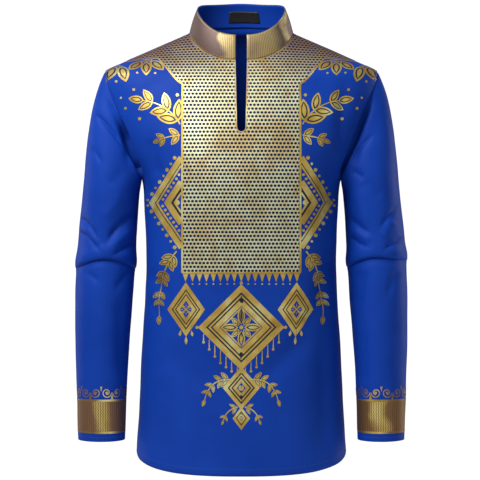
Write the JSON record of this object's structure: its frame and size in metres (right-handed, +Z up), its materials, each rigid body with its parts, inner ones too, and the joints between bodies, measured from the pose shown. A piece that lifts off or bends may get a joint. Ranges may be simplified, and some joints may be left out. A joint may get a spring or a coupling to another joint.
{
  "type": "dashiki_shirt",
  "caption": "Men's long-sleeved dashiki shirt in royal-blue cloth with a stand collar, an open neck slit, a gold printed bib and gold cuff bands, worn-shaped and empty.",
  "frame": {"origin": "midway between the two points where the shoulder seams meet the collar, which is where the wearer's shoulders and neck hold the shirt", "axes": "+Z up the wearer, -Y out of the shirt's front, +X towards the wearer's left sleeve"},
  "size_m": [0.5662, 0.2513, 0.8031],
  "materials": {
    "blue_cloth": "smooth woven, slight satin sheen",
    "gold_printed_cloth": "blue woven cloth covered in gold foil print",
    "black_label": "woven satin ribbon, blank"
  },
  "bodies": {
    "root": {"front": "blue_cloth", "back": "blue_cloth", "sleeve_left_upper": "blue_cloth", "sleeve_left_lower": "blue_cloth", "sleeve_right_upper": "blue_cloth", "sleeve_right_lower": "blue_cloth", "collar_outer": "gold_printed_cloth", "collar_inner": "blue_cloth", "neck_label": "black_label"}
  },
  "joints": []
}
